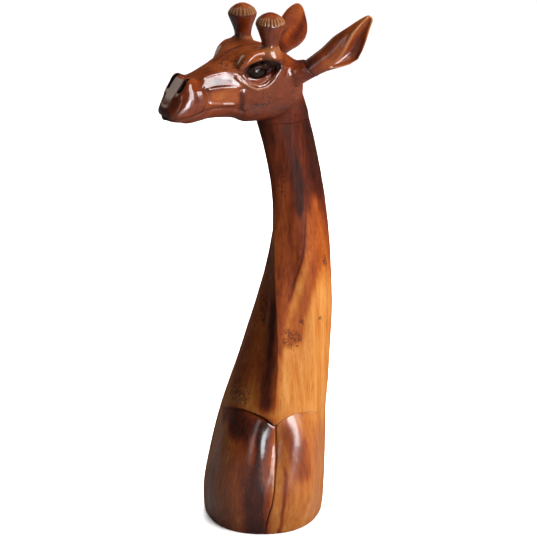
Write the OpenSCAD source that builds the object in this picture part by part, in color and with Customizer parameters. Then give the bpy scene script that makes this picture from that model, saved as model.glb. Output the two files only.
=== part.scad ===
// Carved giraffe bust: a chest and neck log, a head block turned to one side,
// and separate ears, ossicones and eyes, all pegged with hardwood dowels and glued.
// Millimetres, +Z up. The origin is the centre of the flat underside, and the chest faces -Y.

/* [Neck and chest] */
// Height of the sawn joint between neck and head
seam_z = 806; // [795:1:815]
// How far the keel stands out along the front of the neck
keel_h = 6; // [0:0.5:9]
// How far the mane ridge stands out along the nape
mane_h = 4; // [0:0.5:8]
// Depth of the valley between the two breast lobes
valley_d = 5; // [0:0.5:8]

/* [Head] */
// Direction the head faces, in degrees from +X
head_yaw = 210; // [200:1:220]
// How far the nose points down, in degrees
head_pitch = 5; // [0:1:8]
// Height of the top of the skull, midway between the ossicones
crown_z = 952; // [945:1:960]
// Distance from the middle of the skull to each ossicone's axis
ossicone_s = 49; // [46:0.5:52]
// Radius of each eyeball
eye_r = 22; // [20:0.5:24]

/* [Ears] */
// Length of each ear from its joint to its tip
ear_len = 152; // [145:1:160]

/* [Dowels] */
// Diameter of the two dowels between neck and head
neck_dowel_d = 16; // [12:1:20]
// Length of the two dowels between neck and head
neck_dowel_len = 88; // [70:2:96]
// Diameter of the dowels that hold the ears and the ossicones
peg_d = 10; // [8:1:12]
// Length of the dowels that hold the ears and the ossicones
peg_len = 44; // [36:2:50]

/* [Hidden] */
$fn = 48;

// Where the skull's crown stands, and the centre of the neck at the sawn joint.
crown = [-11, -14, crown_z];
neck_top = [38, 14];

// Stations of the neck and chest: height, centre x, centre y, half width across the facing
// direction, half depth along it, facing direction in degrees, keel share, mane share.
body_stations = [
    [0,   0,  0, 117, 117,  -90, -0.5, 0],
    [12,  0,  0, 120, 120,  -90, -0.6, 0],
    [60,  2, -1, 121, 120,  -90, -0.8, 0],
    [124, 8, -3, 116, 114,  -90, -0.8, 0],
    [180, 14, -5, 110, 108, -90, -0.6, 0.2],
    [234, 21, -6, 103, 101, -91, 0.2, 0.4],
    [290, 32, -6,  96,  94, -94, 0.8, 0.6],
    [343, 42, -4,  88,  87, -98, 1.0, 0.8],
    [400, 52, -2,  81,  79, -105, 1.0, 1.0],
    [448, 60,  0,  74,  73, -114, 1.0, 1.0],
    [500, 66,  3,  65,  67, -124, 1.0, 1.0],
    [550, 70,  6,  57,  61, -134, 0.9, 1.0],
    [600, 71,  9,  48,  56, -144, 0.8, 1.0],
    [650, 68, 11,  40,  52, -149, 0.7, 1.0],
    [700, 61, 12,  37,  50, -150, 0.6, 1.0],
    [750, 51, 13,  37,  50, -150, 0.5, 1.0],
    [seam_z, 38, 14,  39,  51, -150, 0.4, 1.0]
];

// Stations of the head: distance forward of the crown, then half of the section from its
// top to its bottom as [sideways, up] points.
head_stations = [
    [-76, [0, -54], [13, -56], [24, -64], [27, -80], [24, -102], [13, -118], [0, -122]],
    [-60, [0, -34], [22, -36], [38, -46], [43, -68], [39, -102], [25, -130], [0, -137]],
    [-40, [0, -18], [28, -20], [49, -31], [54, -62], [49, -100], [33, -134], [0, -142]],
    [-12, [0, -4], [32, -3], [57, -15], [58, -58], [52, -100], [37, -134], [0, -141]],
    [20, [0, 1], [36, 2], [60, -8], [56, -58], [49, -98], [35, -130], [0, -138]],
    [45, [0, -1], [33, 0], [56, -12], [51, -58], [43, -98], [31, -127], [0, -136]],
    [62, [0, -6], [25, -8], [46, -24], [45, -55], [37, -95], [26, -118], [0, -126]],
    [85, [0, -15], [18, -17], [35, -29], [40, -53], [31, -94], [20, -112], [0, -119]],
    [115, [0, -26], [16, -27], [29, -36], [36, -58], [29, -92], [19, -108], [0, -114]],
    [138, [0, -35], [17, -34], [30, -40], [38, -64], [32, -93], [21, -109], [0, -115]],
    [154, [0, -36], [21, -30], [34, -41], [39, -70], [34, -94], [22, -108], [0, -112]],
    [172, [0, -53], [20, -48], [32, -58], [37, -79], [33, -95], [20, -104], [0, -107]],
    [187, [0, -68], [15, -67], [27, -74], [33, -86], [29, -96], [17, -101], [0, -102]],
    [197, [0, -78], [9, -78], [18, -81], [23, -89], [19, -94], [11, -97], [0, -98]]
];
head_back = [-82, 0, -86];
head_front = [200, 0, -89];

// Stations of an ear's outside: distance from its joint, how low the centre lies toward the
// lower edge, half width and half depth.
ear_stations = [
    [0,   4,  17.5, 16.5],
    [20,  7,  20,   16.5],
    [41,  12, 25,   16.5],
    [59,  15, 30,   17],
    [72,  16, 32,   17],
    [84,  14, 29,   16],
    [104, 9,  22,   13],
    [129, 2,  13,   8],
    [144, -1, 7,    4.5]
];
// The right ear is a little blunter.
right_ear_stations = [
    [0,   4,  17.5, 16.5],
    [20,  7,  19.5, 16.5],
    [41,  11, 23,   16.5],
    [60,  13, 27, 17],
    [80,  14, 29, 17],
    [98,  13, 28, 16],
    [116, 10, 24, 14],
    [134, 6,  16, 10],
    [146, 4,  9,  6]
];
// Stations of an ear's hollow: distance from its joint, how low and how far out the centre
// lies, half width and half depth.
hollow_stations = [
    [30,  20, 17,  3,  3],
    [44,  25, 14,  10, 11],
    [58,  30, 12,  17, 15],
    [72,  32, 11,  20, 18],
    [88,  26, 10,  19, 16.5],
    [108, 14, 8,   15, 13],
    [130, 4,  5.5, 10, 8.5],
    [146, -1, 3.5, 5,  4.5]
];
right_hollow_stations = [
    [30,  19, 17,  3,  3],
    [44,  22, 14,  10, 11],
    [60,  25, 12,  15, 15],
    [80,  27, 11,  17, 17],
    [98,  24, 10,  17, 16],
    [116, 18, 8,   15, 13],
    [134, 9,  6,   11, 9],
    [147, 5,  4,   6,  5]
];
// Joint of the left ear in the head's frame, the way each ear points, and the way its
// hollow faces, written for the left side. The right ear is set lower and turned on its peg.
ear_root = [-66, 68, -44];
ear_dir = [-91, 82, 92];
right_ear_dir = [-114, 83, 56];
ear_face = [0.55, 0.75, -0.3];
right_ear_face = [0.23, 0.63, -0.72];

// Half outline of an ossicone, from its base to the top of its cap, as [radius, height].
ossicone_outline = [[15.2, 0], [15, 8], [16, 15], [18.5, 23], [21.8, 32], [25, 39.5],
                    [26.2, 44], [25, 49], [21, 55], [14, 60.5], [6, 63.8], [0, 64.5]];
ossicone_lean = 5;
flutes = 22;

function spline(a, b, c, d, t) =
    0.5 * (2 * b + (c - a) * t + (2 * a - 5 * b + 4 * c - d) * t * t + (3 * b - a - 3 * c + d) * t * t * t);
function clamped(list, i) = list[max(0, min(len(list) - 1, i))];
function unit(v) = v / norm(v);

// One list of numbers or points, resampled with a smooth curve through its entries.
function resampled(list, steps) = [
    for (i = [0 : (len(list) - 1) * steps])
        let (k = min(floor(i / steps), len(list) - 2), t = i / steps - k)
            spline(clamped(list, k - 1), list[k], list[k + 1], clamped(list, k + 2), t)
];

// A closed ring of points, resampled with a smooth closed curve.
function resampled_ring(ring, steps) = let (n = len(ring)) [
    for (i = [0 : n * steps - 1])
        let (k = floor(i / steps), t = i / steps - k)
            spline(ring[(k + n - 1) % n], ring[k], ring[(k + 1) % n], ring[(k + 2) % n], t)
];

// A closed solid through rings of points. Its ends are flat, or come to a point where one is given.
module skin(rings, first = undef, last = undef) {
    n = len(rings[0]);
    m = len(rings);
    walls = [for (j = [0 : m - 2], i = [0 : n - 1])
        let (a = j * n + i, b = j * n + (i + 1) % n) each [[a, b, b + n], [a, b + n, a + n]]];
    front = is_undef(first) ? [[for (i = [n - 1 : -1 : 0]) i]]
                            : [for (i = [0 : n - 1]) [m * n, (i + 1) % n, i]];
    tip = m * n + (is_undef(first) ? 0 : 1);
    back = is_undef(last) ? [[for (i = [0 : n - 1]) (m - 1) * n + i]]
                          : [for (i = [0 : n - 1]) [tip, (m - 1) * n + i, (m - 1) * n + (i + 1) % n]];
    points = [for (ring = rings) each ring];
    ends = [if (!is_undef(first)) first, if (!is_undef(last)) last];
    polyhedron(concat(points, ends), concat(walls, front, back), convexity = 8);
}

// A narrow bump of height 1 at angle 0, about as wide as the given angle.
function bump(angle, width) = exp(-pow(angle / width, 2));

// One ring of the neck and chest. Angles run clockwise from the facing direction.
function body_ring(s, points) = [
    for (i = [0 : points - 1])
        let (a = 360 * i / points, off = a > 180 ? a - 360 : a,
             ridge = (s[6] < 0 ? valley_d : keel_h) * s[6] * bump(off, 16),
             mane = mane_h * s[7] * bump(180 - abs(off), 18),
             forward = s[4] * cos(a) + ridge - mane, side = s[3] * sin(a))
            [s[1] + forward * cos(s[5]) + side * sin(s[5]),
             s[2] + forward * sin(s[5]) - side * cos(s[5]), s[0]]
];

module neck_and_chest() {
    color("sienna")
        difference() {
            skin([for (s = resampled(body_stations, 3)) body_ring(s, 60)]);
            neck_dowel_bores();
        }
}

// The head's own frame: +X forward to the nose, +Y to the giraffe's left, +Z up, origin at the crown.
module head_frame() {
    translate(crown)
        rotate([0, head_pitch, head_yaw])
            children();
}

function head_ring(s) = let (half = [for (i = [1 : 7]) [s[0], s[i].x, s[i].y]]) concat(
    half, [for (i = [5 : -1 : 1]) [half[i][0], -half[i][1], half[i][2]]]);

// Rings through the head with the sections smoothed along and around.
function head_rings() = let (
    nets = [for (s = head_stations) head_ring(s)],
    along = [for (i = [0 : 11]) resampled([for (n = nets) n[i]], 3)])
    [for (j = [0 : len(along[0]) - 1]) resampled_ring([for (c = along) c[j]], 4)];

module head_loft() {
    skin(head_rings(), head_back, head_front);
}

// The short length of neck that belongs to the head block, from the sawn joint up into the skull.
module neck_stub() {
    stub = [[seam_z, neck_top.x, neck_top.y, 39, 51, -150, 0.4, 1],
            [seam_z + 35, 29, 9, 40, 50, -150, 0.2, 0.6],
            [seam_z + 80, 20, 4, 38, 44, -150, 0, 0]];
    skin([for (s = resampled(stub, 3)) body_ring(s, 60)]);
}

// Places its children on one side: +1 for the giraffe's left, -1 for its right.
module on_side(side) {
    mirror([0, side < 0 ? 1 : 0, 0])
        children();
}

module ossicone_frame() {
    translate([0, ossicone_s, 0])
        rotate([-2, -ossicone_lean, 0])
            children();
}

// Puts an ear's own frame in place: +X along the ear, +Y to its upper edge, +Z out of its hollow.
module ear_frame(pointing, facing) {
    x = unit(pointing);
    z = unit(facing - (facing * x) * x);
    y = cross(z, x);
    multmatrix([[x.x, y.x, z.x, ear_root.x], [x.y, y.y, z.y, ear_root.y], [x.z, y.z, z.z, ear_root.z]])
        children();
}

module peg(length = peg_len) {
    cylinder(d = peg_d, h = length, center = true);
}

module neck_dowels(which) {
    for (k = which)
        translate([neck_top.x + k * 24 * cos(head_yaw), neck_top.y + k * 24 * sin(head_yaw), seam_z])
            cylinder(d = neck_dowel_d, h = neck_dowel_len, center = true);
}

module neck_dowel_bores() {
    neck_dowels([-1, 1]);
}

module ear_peg(pointing, facing) {
    ear_frame(pointing, facing) translate([0, -4, 0]) rotate([0, 90, 0]) peg();
}

module ossicone_peg() {
    ossicone_frame() peg();
}

module eyeball() {
    translate([27, 55 - eye_r, -35]) sphere(eye_r);
}

// The hollow round an eyeball.
module eye_socket() {
    translate([28, 66, -36]) sphere(31);
}

// The raised seats that the ossicone and the ear stand on.
module ossicone_seat() {
    ossicone_frame() translate([0, 0, -16]) cylinder(r1 = 24, r2 = 15.5, h = 16);
}

module ear_seat(pointing, facing) {
    ear_frame(pointing, facing) translate([0, -4, 0]) rotate([0, -90, 0]) cylinder(r1 = 17, r2 = 11, h = 40);
}

module head() {
    color("saddlebrown")
        difference() {
            union() {
                head_frame() {
                    head_loft();
                    on_side(1) ossicone_seat();
                    on_side(-1) ossicone_seat();
                    on_side(1) ear_seat(ear_dir, ear_face);
                    on_side(-1) ear_seat(right_ear_dir, right_ear_face);
                }
                neck_stub();
            }
            neck_dowel_bores();
            head_frame() {
                on_side(1) { ossicone_peg(); ear_peg(ear_dir, ear_face); eye_socket(); eyeball(); }
                on_side(-1) { ossicone_peg(); ear_peg(right_ear_dir, right_ear_face); eye_socket(); eyeball(); }
            }
        }
}

// One oval ring of an ear, with its centre low toward the lower edge and out of the hollow.
function ear_ring(x, low, out, ry, rz, points) = [
    for (i = [points - 1 : -1 : 0])
        [x * ear_len / 152, ry * cos(360 * i / points) - low, out + rz * sin(360 * i / points)]
];

module ear(pointing, facing, outside, hollow) {
    difference() {
        ear_frame(pointing, facing)
            difference() {
                skin([for (s = resampled(outside, 2)) ear_ring(s[0], s[1], 0, s[2], s[3], 28)],
                     undef, [ear_len, 2, 0]);
                skin([for (s = resampled(hollow, 2)) ear_ring(s[0], s[1], s[2], s[3], s[4], 24)],
                     [27, -19, 18], [ear_len + 3, 2, 3]);
            }
        ear_peg(pointing, facing);
    }
}

module left_ear() {
    color("peru") head_frame() on_side(1) ear(ear_dir, ear_face, ear_stations, hollow_stations);
}

module right_ear() {
    color("peru") head_frame() on_side(-1)
        ear(right_ear_dir, right_ear_face, right_ear_stations, right_hollow_stations);
}

module ossicone() {
    difference() {
        ossicone_frame() {
            difference() {
                rotate_extrude() polygon(concat([[0, 0]], ossicone_outline));
                for (k = [0 : flutes - 1])
                    rotate([0, 0, 360 * k / flutes])
                        translate([27, 0, 42]) rotate([0, -38, 0]) cylinder(r1 = 1.6, r2 = 0.9, h = 20, $fn = 16);
            }
        }
        ossicone_peg();
    }
}

module left_ossicone() {
    color("brown") head_frame() on_side(1) ossicone();
}

module right_ossicone() {
    color("brown") head_frame() on_side(-1) ossicone();
}

module left_eye() {
    color("black") head_frame() on_side(1) eyeball();
}

module right_eye() {
    color("black") head_frame() on_side(-1) eyeball();
}

module neck_dowel_front() {
    color("burlywood") neck_dowels([1]);
}

module neck_dowel_rear() {
    color("burlywood") neck_dowels([-1]);
}

module left_ear_dowel() {
    color("burlywood") head_frame() on_side(1) ear_peg(ear_dir, ear_face);
}

module right_ear_dowel() {
    color("burlywood") head_frame() on_side(-1) ear_peg(right_ear_dir, right_ear_face);
}

module left_ossicone_dowel() {
    color("burlywood") head_frame() on_side(1) ossicone_peg();
}

module right_ossicone_dowel() {
    color("burlywood") head_frame() on_side(-1) ossicone_peg();
}

neck_and_chest();
head();
left_ear();
right_ear();
left_ossicone();
right_ossicone();
left_eye();
right_eye();
neck_dowel_front();
neck_dowel_rear();
left_ear_dowel();
right_ear_dowel();
left_ossicone_dowel();
right_ossicone_dowel();
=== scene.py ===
"""The looks of a carved and lacquered giraffe bust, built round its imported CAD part."""
import math

import bpy
import numpy as np
import openvdb
from mathutils import Matrix, Vector
from mathutils.bvhtree import BVHTree


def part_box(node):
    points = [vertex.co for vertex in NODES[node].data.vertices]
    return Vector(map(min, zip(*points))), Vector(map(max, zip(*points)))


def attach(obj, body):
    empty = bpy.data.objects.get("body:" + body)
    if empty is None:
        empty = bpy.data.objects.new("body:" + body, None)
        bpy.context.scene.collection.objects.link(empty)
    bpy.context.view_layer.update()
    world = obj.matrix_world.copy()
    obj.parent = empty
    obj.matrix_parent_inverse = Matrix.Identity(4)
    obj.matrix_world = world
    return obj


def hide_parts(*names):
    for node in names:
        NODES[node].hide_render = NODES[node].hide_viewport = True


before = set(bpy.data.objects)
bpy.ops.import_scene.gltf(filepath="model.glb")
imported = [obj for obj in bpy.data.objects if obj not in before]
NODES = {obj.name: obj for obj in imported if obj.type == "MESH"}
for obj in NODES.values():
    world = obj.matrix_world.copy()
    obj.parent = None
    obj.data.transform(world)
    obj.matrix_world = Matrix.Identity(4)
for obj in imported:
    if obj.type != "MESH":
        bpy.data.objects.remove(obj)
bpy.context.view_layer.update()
MM = 0.001
# The side that gets the most lacquer faces this way.
FRONT = np.array([0, -0.97, 0.24])

# ---------------------------------------------------------------- helpers


def ramp(x, low, high):
    """0 below low, 1 above high, smooth between."""
    t = np.clip((x - low) / (high - low), 0.0, 1.0)
    return t * t * (3 - 2 * t)


def bell(x, width, power=2):
    """1 where x is 0, falling to nothing at a few widths away."""
    return np.exp(-((np.abs(x) / width) ** power))


def noise3(p, scale, seed):
    """Smooth value noise from -1 to 1 at points p, with features about `scale` wide."""
    q = p / scale
    cell = np.floor(q).astype(np.int64)
    t = q - cell
    t = t * t * (3 - 2 * t)
    out = np.zeros(len(p))
    # large primes turn each corner of a cell and the seed into a number of its own, from 0 to 0xFFFF
    for corner in np.ndindex(2, 2, 2):
        a, b, c = (cell + corner).T
        n = a * 73856093 ^ b * 19349663 ^ c * 83492791 ^ seed * 2654435761
        n = (n ^ (n >> 13)) * 1274126177 & 0x7FFFFFFF
        n = (n ^ (n >> 16)) & 0xFFFF
        out += np.prod(np.where(corner, t, 1 - t), axis=1) * (2 * n / 0xFFFF - 1)
    return out


def even_out(a):
    """Averages each row of an array with its neighbours, in place."""
    a[1:-1] = 0.25 * a[:-2] + 0.5 * a[1:-1] + 0.25 * a[2:]


def distance_to(path, p):
    """Distance from points p to a polyline."""
    path = np.array(path, float)
    best = np.full(len(p), 1e9)
    for a, b in zip(path[:-1], path[1:]):
        v = b - a
        t = np.clip(((p - a) @ v) / (v @ v), 0, 1)
        best = np.minimum(best, np.linalg.norm(p - a - t[:, None] * v, axis=1))
    return best


def lines_on(p, strokes):
    """The strongest of several soft lines at points p: each a path, its width, sharpness and strength."""
    found = [most * bell(distance_to(path, p), width, power) for path, width, power, most in strokes]
    return np.max(found, 0)


def ring_quads(index):
    """Quads between neighbouring rings of points, each ring closed on itself."""
    nxt = np.roll(index, -1, 1)
    return np.stack([index[:-1], nxt[:-1], nxt[1:], index[1:]], -1).reshape(-1, 4).tolist()


def cap(ring, centre):
    """A fan of triangles from a ring to one point."""
    return np.stack([ring, np.roll(ring, -1), np.full(len(ring), centre)], -1).tolist()


def mesh_arrays(obj):
    """Vertices in millimetres and triangles of a mesh object."""
    mesh = obj.data
    co = np.empty(len(mesh.vertices) * 3, np.float64)
    mesh.vertices.foreach_get("co", co)
    mesh.calc_loop_triangles()
    tri = np.empty(len(mesh.loop_triangles) * 3, np.int32)
    mesh.loop_triangles.foreach_get("vertices", tri)
    return co.reshape(-1, 3) / MM, tri.reshape(-1, 3)


def make_object(name, points, faces, layers=None, smooth=True):
    """A mesh object from points in millimetres, with any per-point number layers."""
    mesh = bpy.data.meshes.new(name)
    mesh.from_pydata((points * MM).tolist(), [], [list(map(int, f)) for f in faces])
    mesh.validate()
    for key, values in (layers or {}).items():
        attribute = mesh.attributes.new(key, "FLOAT", "POINT")
        attribute.data.foreach_set("value", np.asarray(values, np.float32))
    mesh.polygons.foreach_set("use_smooth", [smooth] * len(mesh.polygons))
    mesh.update()
    if "sheen" in (layers or {}):
        # the lacquer is thick in front and thin on top and behind
        normals = np.empty(len(mesh.vertices) * 3, np.float32)
        mesh.vertices.foreach_get("normal", normals)
        thick = 0.10 + 0.90 * ramp(normals.reshape(-1, 3) @ FRONT, 0.10, 0.42)
        mesh.attributes["sheen"].data.foreach_set("value", np.asarray(layers["sheen"] * thick, np.float32))
    obj = bpy.data.objects.new(name, mesh)
    bpy.context.scene.collection.objects.link(obj)
    return obj


def all_layers(count, **given):
    """Every number layer of a carved piece, from 0 to 1, with its usual value where none is given."""
    usual = {"tone": 0.5, "burn": 0, "dirt": 0, "pale": 0, "stipple": 0, "sheen": 1}
    return {key: np.clip(given.get(key, np.full(count, float(value))), 0, 1) for key,
            value in usual.items()}


class Clay:
    """A block of distance values on a grid, in a frame of its own, that is carved and then meshed."""

    def __init__(self, points, triangles, low, high, step, band=14):
        self.step = step
        self.low = np.floor(np.array(low) / step).astype(int)
        self.size = np.ceil(np.array(high) / step).astype(int) - self.low + 1
        transform = openvdb.createLinearTransform(voxelSize=step)
        grid = openvdb.FloatGrid.createLevelSetFromPolygons(
            np.ascontiguousarray(points, np.float32), triangles=np.ascontiguousarray(triangles, np.uint32),
            transform=transform, halfWidth=band)
        self.d = np.full(self.size, band * step, np.float32)
        grid.copyToArray(self.d, ijk=tuple(int(v) for v in self.low))

    def box(self, low, high):
        """The slice of the grid inside a box, and its points' coordinates as three broadcastable arrays."""
        a = np.clip(np.floor(np.array(low) / self.step).astype(int) - self.low, 0, self.size - 1)
        b = np.clip(np.ceil(np.array(high) / self.step).astype(int) - self.low + 1, 1, self.size)
        sl = tuple(slice(int(a[k]), int(b[k])) for k in range(3))
        x, y, z = [(self.low[k] + np.arange(a[k], b[k])) * self.step for k in range(3)]
        return sl, x[:, None, None], y[None, :, None], z[None, None, :]

    def soften(self, passes):
        """Evens out small steps, as sanding does."""
        for _ in range(passes):
            for axis in range(3):
                even_out(np.moveaxis(self.d, axis, 0))

    def ball(self, centre, radii, blend=0.0, cut=False):
        """Adds or cuts an ellipsoid, blending over the given width."""
        c, r = np.array(centre, float), np.array(radii, float) * np.ones(3)
        sl, x, y, z = self.box(c - r - 12, c + r + 12)
        k = np.sqrt(((x - c[0]) / r[0]) ** 2 + ((y - c[1]) / r[1]) ** 2 + ((z - c[2]) / r[2]) ** 2)
        self.merge(sl, (k - 1) * r.min(), blend, cut)

    def merge(self, sl, e, blend, cut):
        """Adds or cuts a shape given by its distance values e."""
        d = self.d[sl]
        e = -e if cut else e
        blend = np.maximum(blend, 0.01)
        h = np.clip(0.5 + (0.5 if not cut else -0.5) * (e - d) / blend, 0, 1)
        if cut:
            self.d[sl] = d * h + e * (1 - h) + blend * h * (1 - h)
        else:
            self.d[sl] = e * (1 - h) + d * h - blend * h * (1 - h)

    def line_distance(self, path, reach):
        """Distance to a polyline in the box round it, and how far along it the nearest point is, 0 to 1."""
        path = np.array(path, float)
        sl, x, y, z = self.box(path.min(0) - reach, path.max(0) + reach)
        best = np.full(self.d[sl].shape, 1e9)
        along = np.zeros(best.shape)
        total = np.linalg.norm(np.diff(path, axis=0), axis=1)
        start = np.concatenate([[0], np.cumsum(total)]) / total.sum()
        for i in range(len(path) - 1):
            a, v = path[i], path[i + 1] - path[i]
            t = np.clip(((x - a[0]) * v[0] + (y - a[1]) * v[1] + (z - a[2]) * v[2]) / (v @ v), 0, 1)
            q = np.sqrt((x - a[0] - t * v[0]) ** 2 + (y - a[1] - t * v[1]) ** 2
                        + (z - a[2] - t * v[2]) ** 2)
            near = q < best
            best = np.where(near, q, best)
            along = np.where(near, start[i] + t * (start[i + 1] - start[i]), along)
        return sl, best, along

    def stroke(self, path, height, width, taper=0.0):
        """Raises the surface along a path, or lowers it where height is negative."""
        sl, q, along = self.line_distance(path, width * 2.6)
        fade = 1.0
        if taper > 0:
            fade = np.clip(along / taper, 0, 1) * np.clip((1 - along) / taper, 0, 1)
            fade = np.sqrt(np.clip(fade, 0, 1))
        self.d[sl] -= (height * fade * bell(q, width)).astype(np.float32)

    def facet(self, upper, lower, side, low_f, high_f, strength=1.0):
        """Planes the side of the face flat between two edge lines that run along it."""
        upper, lower = np.array(sorted(upper)), np.array(sorted(lower))
        near = (low_f - 8, min(0, 60 * side), lower[:, 2].min() - 8)
        far = (high_f + 8, max(0, 60 * side), upper[:, 2].max() + 8)
        sl, x, y, z = self.box(near, far)
        top_s, top_u = np.interp(x, upper[:, 0], upper[:, 1]), np.interp(x, upper[:, 0], upper[:, 2])
        end_s, end_u = np.interp(x, lower[:, 0], lower[:, 1]), np.interp(x, lower[:, 0], lower[:, 2])
        t = (top_u - z) / (top_u - end_u)
        plane = (y * side - (top_s + (end_s - top_s) * t)) * 0.93
        weight = strength * ramp(t, -0.10, 0.06) * ramp(1.10 - t, 0, 0.16)
        self.plane_off(sl, plane, weight * ramp(x, low_f - 5, low_f + 8) * ramp(high_f + 8 - x, 0, 18), 10)

    def plate(self, centre, facing, half, span):
        """Pares a flat strip across the middle of the muzzle."""
        near = (span[0] - 8, -half - 6, centre[2] - 45)
        far = (span[1] + 6, half + 6, centre[2] + 30)
        sl, x, y, z = self.box(near, far)
        plane = (x - centre[0]) * facing[0] + y * facing[1] + (z - centre[2]) * facing[2]
        weight = ramp(x, span[0] - 6, span[0] + 5) * ramp(span[1] + 5 - x, 0, 10)
        self.plane_off(sl, plane, 0.95 * weight * ramp(half + 3 - np.abs(y), 0, 5), 12)

    def plane_off(self, sl, plane, weight, depth):
        """Moves the surface to a plane where weight is 1 and the plane is within depth."""
        weight = weight * ramp(depth - np.abs(plane), 0, 4)
        self.d[sl] = (self.d[sl] * (1 - weight) + plane * weight).astype(np.float32)

    def tube(self, path, radius, blend=3.0):
        """Adds a round roll of wood along a path."""
        sl, off, _ = self.line_distance(path, radius + 8)
        self.merge(sl, off - radius, blend, False)

    def dab(self, centre, height, radius):
        """Raises or lowers the surface round one point."""
        c, r = np.array(centre, float), np.array(radius, float) * np.ones(3)
        sl, x, y, z = self.box(c - r * 2.6, c + r * 2.6)
        q = ((x - c[0]) / r[0]) ** 2 + ((y - c[1]) / r[1]) ** 2 + ((z - c[2]) / r[2]) ** 2
        self.d[sl] -= (height * np.exp(-q)).astype(np.float32)

    def ear_boss(self, turn, root):
        """A flared boss that carries the skull out to the ear's joint, and a little past it."""
        side = np.sign(root[1])
        base = root - 4 * turn[:, 1]
        inner = np.array([-33.0, 34 * side, -52])
        path = [base + 12 * turn[:, 0], base, 0.45 * base + 0.55 * inner + [-2, 3 * side, 0], inner]
        sl, off, along = self.line_distance(path, 42)
        back = np.clip((along - 0.20) / 0.80, 0, 1)
        self.merge(sl, off - (17.2 + 1.5 * back), 1 + 15 * back ** 0.7, False)

    def saw_ear_joint(self, turn, root):
        """Cuts the boss off flat where the ear starts."""
        ends = np.array([root - 4 * turn[:, 0], root + 24 * turn[:, 0]])
        sl, x, y, z = self.box(ends.min(0) - 26, ends.max(0) + 26)
        d = [x - root[0], y - root[1], z - root[2]]
        along, across, out = [d[0] * turn[0, k] + d[1] * turn[1, k] + d[2] * turn[2, k] for k in range(3)]
        off = np.hypot(across + 4, out)
        self.d[sl] = np.where(off < 27, np.maximum(self.d[sl], along), self.d[sl]).astype(np.float32)

    def mesh(self):
        """Points in millimetres and quads of the carved surface."""
        grid = openvdb.FloatGrid(float(self.d.max()))
        grid.copyFromArray(self.d, ijk=tuple(int(v) for v in self.low))
        grid.transform = openvdb.createLinearTransform(voxelSize=self.step)
        grid.gridClass = openvdb.GridClass.LEVEL_SET
        points, quads = grid.convertToQuads()
        return np.array(points, float), np.array(quads, int)[:, ::-1]


def biggest_shell(points, faces):
    """Only the largest connected piece of a mesh, so that no stray faces stay."""
    parent = np.arange(len(points))
    edges = np.concatenate([faces[:, [0, 1]], faces[:, [1, 2]], faces[:, [2, 3]]])
    while True:
        low = np.minimum(parent[edges[:, 0]], parent[edges[:, 1]])
        before = parent.copy()
        np.minimum.at(parent, edges[:, 0], low)
        np.minimum.at(parent, edges[:, 1], low)
        parent = parent[parent]
        if (parent == before).all():
            break
    label, count = np.unique(parent, return_counts=True)
    keep = parent == label[count.argmax()]
    index = np.cumsum(keep) - 1
    return points[keep], index[faces[keep[faces[:, 0]]]]


# ---------------------------------------------------------------- where the head sits

CROWN = np.array([-11.0, -14.0, 952.0])
YAW, PITCH = math.radians(210), math.radians(5)
HEAD_TURN = np.array(Matrix.Rotation(YAW, 3, "Z") @ Matrix.Rotation(PITCH, 3, "Y"))


def to_head(points):
    """From the row frame to the head's own: forward, to its left, up, from the crown."""
    return (points - CROWN) @ HEAD_TURN


def from_head(points):
    """Back from the head's own frame to the row frame."""
    return points @ HEAD_TURN.T + CROWN


# Where each ear points, which way its hollow faces (both written for the left side), and its side.
EAR_ROOT = np.array([-66.0, 68.0, -44.0])
EARS = {
    "left_ear": ((-91, 82, 92), (0.55, 0.75, -0.3), 1),
    "right_ear": ((-114, 83, 56), (0.23, 0.63, -0.72), -1),
}


def ear_axes_local(pointing, facing, side):
    """The ear's axes in the head's frame (along it, to its upper edge, out of its hollow) and its root."""
    x = np.array(pointing, float) / np.linalg.norm(pointing)
    z = np.array(facing, float) - np.dot(facing, x) * x
    z /= np.linalg.norm(z)
    y = np.cross(z, x)
    flip = np.array([1.0, side, 1.0])
    return np.stack([x * flip, y * flip, z * flip], 1), EAR_ROOT * flip


def ear_axes(pointing, facing, side):
    """The same axes and root in the row frame."""
    turn, root = ear_axes_local(pointing, facing, side)
    return HEAD_TURN @ turn, from_head(root)


# ---------------------------------------------------------------- neck and chest

# Height, centre x, centre y and facing direction of the neck, which the surface is measured round.
NECK_LINE = np.array([
    [0, 0, 0, -90], [60, 2, -1, -90], [124, 8, -3, -90], [180, 14, -5, -90], [234, 21, -6, -91],
    [290, 32, -6, -94], [343, 42, -4, -98], [400, 52, -2, -105], [448, 60, 0, -114], [500, 66, 3, -124],
    [550, 70, 6, -134], [600, 71, 9, -144], [650, 68, 11, -149], [700, 61, 12, -150], [750, 51, 13, -150],
    [806, 38, 14, -150]], float)
NECK_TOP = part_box("neck_and_chest")[1].z / MM

# The crease over the breast: angle from the facing direction (plus is the giraffe's left) and height.
CREASE = np.array([[-92, 205], [-72, 236], [-54, 249], [-41, 253.5], [-32, 253.5], [-22, 251], [-13, 247],
                   [-6, 241], [2, 231], [8, 241], [15, 248], [20, 251], [26, 253], [37, 251], [49, 245.5],
                   [68, 230], [90, 200]], float)
LOBE_RADIUS = 108
# The split between the two lobes: height and angle.
SPLIT = np.array([[0, 1], [48, 4], [72, 6], [104, 7], [136, 7], [169, 7], [228, 3.5], [260, 2]], float)


def neck_line(z):
    """Centre x, centre y and facing direction of the neck at a height."""
    return [np.interp(z, NECK_LINE[:, 0], NECK_LINE[:, k]) for k in (1, 2, 3)]


def reach(tree, cx, cy, turn, z, start):
    """How far a surface lies from the axis (cx, cy) in one direction, looked for from outside."""
    c, s = math.cos(turn), math.sin(turn)
    hit = tree.ray_cast(Vector((cx + start * c, cy + start * s, z)), Vector((-c, -s, 0)))
    return start - (hit[3] or 150)


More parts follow.
